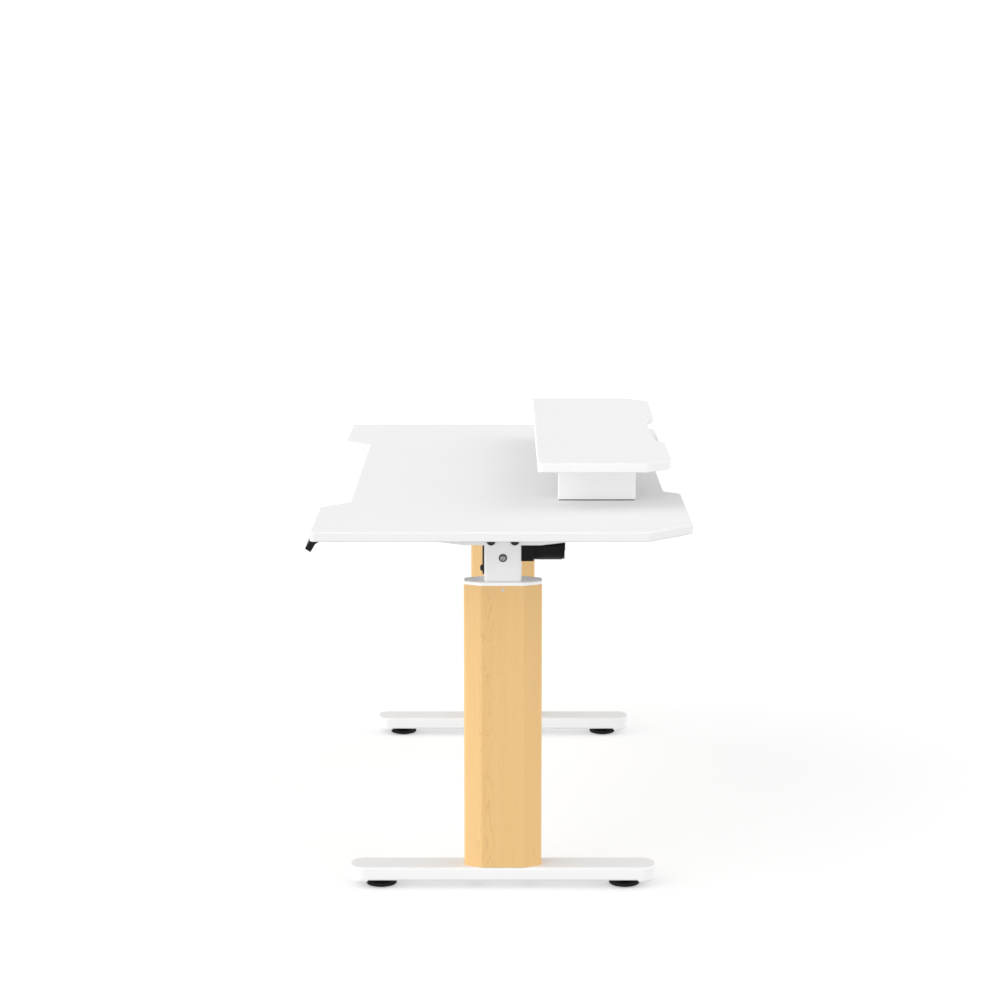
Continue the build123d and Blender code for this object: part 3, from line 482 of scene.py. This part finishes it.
def threaded_rod(name, place, crest, depth, pitch, length, thread, starts=1, steps=24):
    """A rod along z with a helical thread between the two heights in thread, which runs out at its ends."""
    rows_a_turn = 8
    run_out = pitch
    first, last = thread
    count = max(2, round((last - first) / pitch * rows_a_turn))
    heights = [first + (last - first) * row / count for row in range(count + 1)]
    shape = bmesh.new()
    bevel = crest * 0.15
    profile = [(0, 0), (crest - bevel, 0), (crest, bevel)]
    profile += [(crest, z) for z in heights if bevel < z < length - bevel]
    profile += [(crest, length - bevel), (crest - bevel, length), (0, length)]
    lathe(shape, Matrix.Identity(4), profile, steps)
    for vertex in shape.verts:
        x, y, z = vertex.co
        inside = min(z - first, last - z) / run_out
        radius = math.hypot(x, y)
        if inside > 0 and radius > crest - 1e-6:
            wave = math.cos(math.tau * (z / pitch) - starts * math.atan2(y, x))
            groove = depth * min(1, inside) * min(1, max(0, 0.5 - 0.85 * wave))
            vertex.co = (x * (radius - groove) / radius, y * (radius - groove) / radius, z)
    bmesh.ops.transform(shape, matrix=place, verts=shape.verts)
    return mesh_object(name, shape, smooth_below=60)


# ---- Pieces that replace or finish the CAD nodes -----------------------------------------

SIDES = {"left": -1, "right": 1}


def node_middle(node):
    low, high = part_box(node)
    return (Vector(low) + Vector(high)) / 2


def outermost(node, out):
    """How far a node reaches along a direction."""
    return max(vertex.co.dot(out) for vertex in NODES[node].data.vertices)


def on_surface(node, out, up, lift=0.0):
    """A place in the middle of a node's outermost face along a direction."""
    out = Vector(out).normalized()
    reach = outermost(node, out)
    rim = [vertex.co for vertex in NODES[node].data.vertices if vertex.co.dot(out) > reach - 0.00005]
    middle = sum(rim, Vector()) / len(rim)
    return facing(middle + out * lift, out, up)


def levelling_studs(paint):
    """Threaded studs, in place of the plain ones."""
    pitch, depth = 1.5 * MM, 0.75 * MM
    for end in ("front", "back"):
        for side in SIDES:
            node = f"levelling_stud_{end}_{side}"
            low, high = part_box(node)
            middle = node_middle(node)
            length = high[2] - low[2]
            stud = threaded_rod(f"thread_{end}_{side}", Matrix.Translation((middle.x, middle.y, low[2])),
                                (high[0] - low[0]) / 2, depth, pitch, length, (2 * MM, length))
            finish_piece(stud, f"levelling_foot_{end}_{side}", paint)
            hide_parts(node)


def lifting_spindles(paint):
    """Two-start lifting screws, in place of the plain spindles."""
    lead, starts, depth = 10 * MM, 2, 0.9 * MM
    bearing_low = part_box("spindle_bearings")[0][2]
    for side in SIDES:
        node = f"spindle_{side}"
        low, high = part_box(node)
        middle = node_middle(node)
        thread_end = bearing_low - low[2] - 14 * MM
        spindle = threaded_rod(f"lead_screw_{side}", Matrix.Translation((middle.x, middle.y, low[2])),
                               (high[0] - low[0]) / 2, depth, lead / starts, high[2] - low[2],
                               (3 * MM, thread_end), starts)
        finish_piece(spindle, f"spindle_{side}_assembly", paint)
        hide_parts(node)


def worm_screws(paint):
    """Motor shafts, each with a real helix where it meets its wheel."""
    teeth = 24
    for side in SIDES:
        node = f"worm_{side}"
        low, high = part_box(node)
        wheel_low, wheel_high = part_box(f"worm_wheel_{side}")
        middle = node_middle(node)
        radius = (high[2] - low[2]) / 2
        shaft_radius = 2 * MM
        worm_length = 24 * MM
        pitch = math.pi * (wheel_high[1] - wheel_low[1]) / teeth
        place = facing((middle.x, low[1], middle.z), (0, 1, 0))
        screw = threaded_rod(f"worm_screw_{side}", place, radius, 0.9 * MM, pitch, worm_length,
                             (0.5 * MM, worm_length - 0.5 * MM))
        shaft = bmesh.new()
        shaft.from_mesh(screw.data)
        end = high[1] - low[1]
        lathe(shaft, place, [(0, worm_length - 1 * MM), (shaft_radius, worm_length - 1 * MM),
                             (shaft_radius, end - 0.4 * MM), (shaft_radius - 0.4 * MM, end), (0, end)], 32)
        shaft.to_mesh(screw.data)
        shaft.free()
        screw.data.set_sharp_from_angle(angle=math.radians(50))
        finish_piece(screw, node, paint)
        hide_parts(node)


def dome(radius, height, shank, steps=6):
    """Profile of a domed screw head on the plane z = 0, with a shank below it."""
    arc = [(radius * math.cos(a), height * math.sin(a))
           for a in (math.pi / 2 * step / steps for step in range(steps + 1))]
    arc[-1] = (0, height)
    foot = [(0, -shank), (radius * 0.5, -shank), (radius * 0.5, 0), (radius, 0)]
    return foot + [(r, h + 0.2 * MM) for r, h in arc]


def cladding_screw_heads(paint):
    """Two small raised-head screws that hold the cladding, with a cross recess each."""
    heads = bmesh.new()
    recesses = bmesh.new()
    low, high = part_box("cladding_screws")
    middle = node_middle("cladding_screws")
    radius = (high[2] - low[2]) / 2
    for direction, reach in ((1, high[0]), (-1, low[0])):
        place = facing((reach, middle.y, middle.z), (direction, 0, 0))
        lathe(heads, place, dome(radius, 0.9 * MM, shank=8 * MM))
        prism(recesses, place, cross(3.0 * MM, 0.8 * MM), 0.2 * MM, 3 * MM)
    made = mesh_object("cladding_screw_heads", heads)
    carve(made, mesh_object("recess", recesses))
    finish_piece(made, "base", paint)
    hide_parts("cladding_screws")


def gearbox_bolt_heads(paint, rim_reflection_paint):
    """A bright socket bolt in the outer face of each inner tube, on a dark washer that paints the reflection
    and shade round the bolt's rim.
    """
    heads, sockets, rim_reflection_washers = bmesh.new(), bmesh.new(), bmesh.new()
    low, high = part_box("gearbox_bolts")
    middle = node_middle("gearbox_bolts")
    radius = (high[2] - low[2]) / 2
    for side, direction in SIDES.items():
        tube_low, tube_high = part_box(f"inner_tube_{side}")
        face = tube_high[0] if direction > 0 else tube_low[0]
        place = facing((face, middle.y, middle.z), (direction, 0, 0))
        # The dark ring under the head is painted reflection and shade at the bolt's rim
        lathe(rim_reflection_washers, place, [(4.1 * MM, 0), (radius, 0), (radius, 0.9 * MM), (radius - 0.4 * MM, 1.3 * MM),
                               (4.1 * MM, 1.3 * MM), (4.1 * MM, 0)])
        lathe(heads, place @ Matrix.Translation((0, 0, 1.3 * MM)),
              dome(radius - 1.9 * MM, 2.6 * MM, shank=9 * MM))
        prism(sockets, place, hexagon(2.6 * MM), 2.4 * MM, 8 * MM)
    made = mesh_object("gearbox_bolt_heads", heads)
    carve(made, mesh_object("socket", sockets))
    finish_piece(made, "top", paint)
    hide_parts("gearbox_bolts")
    finish_piece(mesh_object("gearbox_rim_reflection_washers", rim_reflection_washers), "top", rim_reflection_paint)


def strap_screw_heads(paint):
    """Black domed screws on the strap in front of each gearbox."""
    heads, sockets = bmesh.new(), bmesh.new()
    strap_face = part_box("gearbox_plates")[0][1]
    screw_low, screw_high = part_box("plate_screws")
    radius = 6.4 * MM
    for side in SIDES:
        middle = node_middle(f"inner_tube_{side}")
        for height in (screw_low[2] + radius, screw_high[2] - radius):
            place = facing((middle.x, strap_face, height), (0, -1, 0))
            lathe(heads, place, dome(radius, strap_face - screw_low[1] - 0.3 * MM, shank=11 * MM))
            prism(sockets, place, hexagon(2.4 * MM), 1.6 * MM, 9 * MM)
    made = mesh_object("strap_screw_heads", heads)
    carve(made, mesh_object("socket", sockets))
    finish_piece(made, "top", paint)
    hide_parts("plate_screws")


def motor_trim(paint, screw_paint):
    """A ribbed seam band, an end cap boss and three cap screws on each motor."""
    for side in SIDES:
        low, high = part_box(f"motor_{side}")
        middle = node_middle(f"motor_{side}")
        radius = (high[2] - low[2]) / 2
        end = facing((middle.x, high[1], middle.z), (0, 1, 0))
        trim = bmesh.new()
        boss = [(0, -1 * MM), (8.5 * MM, -1 * MM), (8.5 * MM, 0.9 * MM), (7.9 * MM, 1.3 * MM),
                (0, 1.3 * MM)]
        lathe(trim, end, boss)
        finish_piece(mesh_object(f"motor_boss_{side}", trim), "top", paint)
        band = bmesh.new()
        start = low[1] + 12 * MM
        place = facing((middle.x, start, middle.z), (0, 1, 0))
        for rib in range(3):
            height = rib * 2.4 * MM
            lathe(band, place, [(radius - 1 * MM, height), (radius - 0.02 * MM, height),
                                (radius + 0.35 * MM, height + 0.5 * MM),
                                (radius + 0.35 * MM, height + 1.0 * MM),
                                (radius - 0.02 * MM, height + 1.5 * MM),
                                (radius - 1 * MM, height + 1.5 * MM),
                                (radius - 1 * MM, height)], 64)
        finish_piece(mesh_object(f"motor_ribs_{side}", band), "top", paint)
        heads, recesses = bmesh.new(), bmesh.new()
        for turn in range(3):
            angle = math.tau * turn / 3 + math.pi / 6
            across, up = 17 * MM * math.cos(angle), 17 * MM * math.sin(angle)
            spot = end @ Matrix.Translation((across, up, -1.5 * MM))
            lathe(heads, spot, dome(2.6 * MM, 1.2 * MM, shank=3 * MM), 24)
            prism(recesses, spot, cross(2.6 * MM, 0.7 * MM), 0.6 * MM, 3 * MM)
        made = mesh_object(f"motor_screws_{side}", heads)
        carve(made, mesh_object("recess", recesses))
        finish_piece(made, "top", screw_paint)


def control_box_trim(paint, screw_paint, pin_paint):
    """Louvres under the control box, two motor sockets and a handset socket in its back, four screws."""
    low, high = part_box("control_box_cover")
    middle = node_middle("control_box_cover")
    under = facing((middle.x, middle.y, low[2]), (0, 0, -1), (0, 1, 0))
    louvres = bmesh.new()
    for row in range(9):
        across = (row - 4) * 7 * MM
        prism(louvres, under, rounded(4 * MM, 34 * MM, 1.9 * MM, (across, 0)), -0.5 * MM, 0.7 * MM)
    soften(louvres, 0.3 * MM)
    finish_piece(mesh_object("control_box_louvres", louvres), "top", paint)
    back = facing((0, high[1], middle.z), (0, 1, 0))
    sockets, holes, pins = bmesh.new(), bmesh.new(), bmesh.new()
    for place_x, width in ((-30 * MM, 17 * MM), (-5 * MM, 17 * MM), (80 * MM, 13 * MM)):
        prism(sockets, back, rounded(width, 13 * MM, 1.2 * MM, (place_x, 0)), -0.5 * MM, 1.6 * MM)
        prism(holes, back, rounded(width - 4 * MM, 8 * MM, 0.6 * MM, (place_x, 0)), -0.2 * MM, 3 * MM)
        for pin in range(4):
            spot = place_x + (pin - 1.5) * (width - 6 * MM) / 4
            prism(pins, back, rounded(0.8 * MM, 0.8 * MM, 0.2 * MM, (spot, 0), 1), -0.4 * MM, 0.9 * MM)
    made = mesh_object("control_box_sockets", sockets)
    carve(made, mesh_object("holes", holes))
    finish_piece(made, "top", paint)
    finish_piece(mesh_object("control_box_pins", pins), "top", pin_paint)
    heads, recesses = bmesh.new(), bmesh.new()
    half_x, half_y = (high[0] - low[0]) / 2 - 9 * MM, (high[1] - low[1]) / 2 - 9 * MM
    for side_x in (-1, 1):
        for side_y in (-1, 1):
            spot = under @ Matrix.Translation((side_x * half_x, side_y * half_y, 0))
            lathe(heads, spot, dome(2.8 * MM, 1.0 * MM, shank=1.5 * MM), 32)
            prism(recesses, spot, cross(2.8 * MM, 0.7 * MM), 0.4 * MM, 3 * MM)
    made = mesh_object("control_box_screws", heads)
    carve(made, mesh_object("recess", recesses))
    finish_piece(made, "top", screw_paint)


def control_board_parts(board_paint, black_paint, metal_paint, white_paint):
    """The circuit board and what is soldered on it, inside the control box."""
    low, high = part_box("control_board")
    middle = node_middle("control_board")
    board_top = low[2] + 1.6 * MM
    flat = facing((middle.x, middle.y, board_top), (0, 0, 1), (0, 1, 0))
    board = bmesh.new()
    prism(board, flat, rounded(high[0] - low[0], high[1] - low[1], 2 * MM), -1.6 * MM, 0)
    made = finish_piece(mesh_object("board_laminate", board), "top", board_paint)
    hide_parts("control_board")
    black, metal, white = bmesh.new(), bmesh.new(), bmesh.new()
    prism(black, flat, rounded(34 * MM, 28 * MM, 1 * MM, (-60 * MM, 5 * MM)), 0, 11 * MM)
    for place_x in (20 * MM, 34 * MM, 48 * MM):
        prism(black, flat, rounded(11 * MM, 15 * MM, 0.8 * MM, (place_x, 10 * MM)), 0, 10 * MM)
    prism(black, flat, rounded(12 * MM, 12 * MM, 0.4 * MM, (40 * MM, -10 * MM)), 0, 1.6 * MM)
    soften(black, 0.4 * MM)
    for place_x in (-20 * MM, 0):
        lathe(metal, flat @ Matrix.Translation((place_x, 8 * MM, 0)),
              [(0, 0), (6.6 * MM, 0), (7 * MM, 0.8 * MM), (7 * MM, 12.6 * MM), (6.2 * MM, 13.6 * MM),
               (5.6 * MM, 13.2 * MM), (0, 13.2 * MM)])
    for fin in range(6):
        spot = (66 * MM + fin * 3.2 * MM, 8 * MM)
        prism(metal, flat, rounded(1.2 * MM, 16 * MM, 0.3 * MM, spot, 2), 0, 12 * MM)
    prism(metal, flat, rounded(19 * MM, 16.5 * MM, 0.5 * MM, (74 * MM, 8 * MM)), 0, 2 * MM)
    for place_x in (-86 * MM, -34 * MM, -12 * MM, 10 * MM):
        prism(white, flat, rounded(13 * MM, 8 * MM, 0.6 * MM, (place_x, -17 * MM)), 0, 8 * MM)
    soften(white, 0.3 * MM)
    finish_piece(mesh_object("board_coils_and_relays", black), "top", black_paint)
    finish_piece(mesh_object("board_capacitors_and_sink", metal), "top", metal_paint)
    finish_piece(mesh_object("board_connectors", white), "top", white_paint)


def handset_place(node, lift):
    """A place on the outer face of a handset piece, square to the keys' travel."""
    travel = next(joint for joint in frame["joints"] if joint["name"] == "key_up_press")["axis"]
    out = -Vector(travel)
    up = Vector((1, 0, 0)).cross(Vector(travel))
    return on_surface(node, out, up, lift)


def flat_text(name, text, size, place, thickness):
    """Generic digits as a thin mesh, centred on a place."""
    data = bpy.data.curves.new(name, "FONT")
    data.body = text
    data.size = size
    data.extrude = thickness / 2
    data.align_x = "CENTER"
    data.align_y = "CENTER"
    letters = bpy.data.objects.new(name, data)
    bpy.context.scene.collection.objects.link(letters)
    bpy.context.view_layer.update()
    mesh = bpy.data.meshes.new_from_object(letters.evaluated_get(bpy.context.evaluated_depsgraph_get()))
    bpy.data.objects.remove(letters)
    shape = bmesh.new()
    shape.from_mesh(mesh)
    bpy.data.meshes.remove(mesh)
    bmesh.ops.remove_doubles(shape, verts=shape.verts, dist=0.002 * MM)
    bmesh.ops.transform(shape, matrix=place, verts=shape.verts)
    return mesh_object(name, shape)


def key_legends(paint):
    """Arrows on the up and down keys, and the numbers of the two memory keys."""
    thick = 0.06 * MM
    arrow = [(-2.9, -0.6), (0, 2.4), (2.9, -0.6), (2.1, -1.3), (0, 0.9), (-2.1, -1.3)]
    for key, way in (("key_up", 1), ("key_down", -1)):
        place = handset_place(key, thick / 2)
        outline = [(x * MM, way * y * MM) for x, y in (arrow if way > 0 else arrow[::-1])]
        shape = bmesh.new()
        prism(shape, place, outline, -thick, thick / 2)
        finish_piece(mesh_object(f"legend_{key}", shape), key, paint)
    for key, digit in (("key_1", "1"), ("key_2", "2")):
        legend = flat_text(f"legend_{key}", digit, 6.5 * MM, handset_place(key, thick / 2), thick)
        finish_piece(legend, key, paint)


# The bars of a seven-bar digit: middle as shares of its width and height, and whether it stands
BARS = {"a": (0, 1, False), "b": (0.5, 0.5, True), "c": (0.5, -0.5, True), "d": (0, -1, False),
        "e": (-0.5, -0.5, True), "f": (-0.5, 0.5, True), "g": (0, 0, False)}
DIGITS = {"7": "abc", "0": "abcdef", "5": "acdfg"}


def display_digits(paint):
    """The height in centimetres, in glowing bars behind the window."""
    width, half_height, thick, lean = 3.6 * MM, 3.6 * MM, 0.36 * MM, 0.12
    spacing = 6.4 * MM
    place = handset_place("handset_display", 0.0)
    shape = bmesh.new()
    for index, digit in enumerate("705"):
        left = (index - 1) * spacing
        for bar in DIGITS[digit]:
            across, up, stands = BARS[bar]
            run = (half_height if stands else width) / 2 - 0.28 * MM
            middle = Vector((across * width, up * half_height))
            along = Vector((0, 1)) if stands else Vector((1, 0))
            side = Vector((-along.y, along.x)) * thick
            tip, neck = along * run, along * (run - thick)
            ends = [middle + tip, middle + neck + side, middle - neck + side,
                    middle - tip, middle - neck - side, middle + neck - side]
            prism(shape, place, [(left + p.x + lean * p.y, p.y) for p in ends], -0.02 * MM, 0.05 * MM)
    point = (spacing / 2 + 0.1 * MM, -half_height)
    prism(shape, place, rounded(0.8 * MM, 0.8 * MM, 0.3 * MM, point, 2), -0.02 * MM, 0.05 * MM)
    finish_piece(mesh_object("display_digits", shape), "top", paint)


def sole_rings(paint):
    """A rubber ring round the sole of each levelling pad."""
    for end in ("front", "back"):
        for side in SIDES:
            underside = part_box(f"levelling_pad_{end}_{side}")[0][2]
            middle = node_middle(f"levelling_pad_{end}_{side}")
            shape = bmesh.new()
            sole = 21 * MM
            lathe(shape, Matrix.Translation((middle.x, middle.y, underside)),
                  [(sole - 1 * MM, 0.3 * MM), (sole + 0.5 * MM, 0.3 * MM), (sole + 0.9 * MM, 0.8 * MM),
                   (sole + 0.7 * MM, 2.2 * MM), (sole - 1 * MM, 2.4 * MM), (sole - 1 * MM, 0.3 * MM)], 64)
            finish_piece(mesh_object(f"sole_ring_{end}_{side}", shape), f"levelling_foot_{end}_{side}",
                         paint)


def add_pieces(paints):
    """Every piece that is added to the CAD nodes or stands in their place."""
    levelling_studs(paints["zinc"])
    lifting_spindles(paints["bare"])
    worm_screws(paints["bare"])
    cladding_screw_heads(paints["zinc"])
    gearbox_bolt_heads(paints["bare"], paints["oxide"])
    strap_screw_heads(paints["oxide"])
    motor_trim(paints["enamel"], paints["zinc"])
    control_box_trim(paints["black"], paints["zinc"], paints["bare"])
    control_board_parts(paints["board"], paints["black"], paints["bare"], paints["moulding"])
    key_legends(legend_ink())
    display_digits(glowing_digits())
    sole_rings(paints["rubber"])


# ---- The scene ---------------------------------------------------------------------------

bpy.context.scene.view_settings.view_transform = "Standard"
place_camera()
light_room()
lay_floor()
add_pieces(paint_nodes())
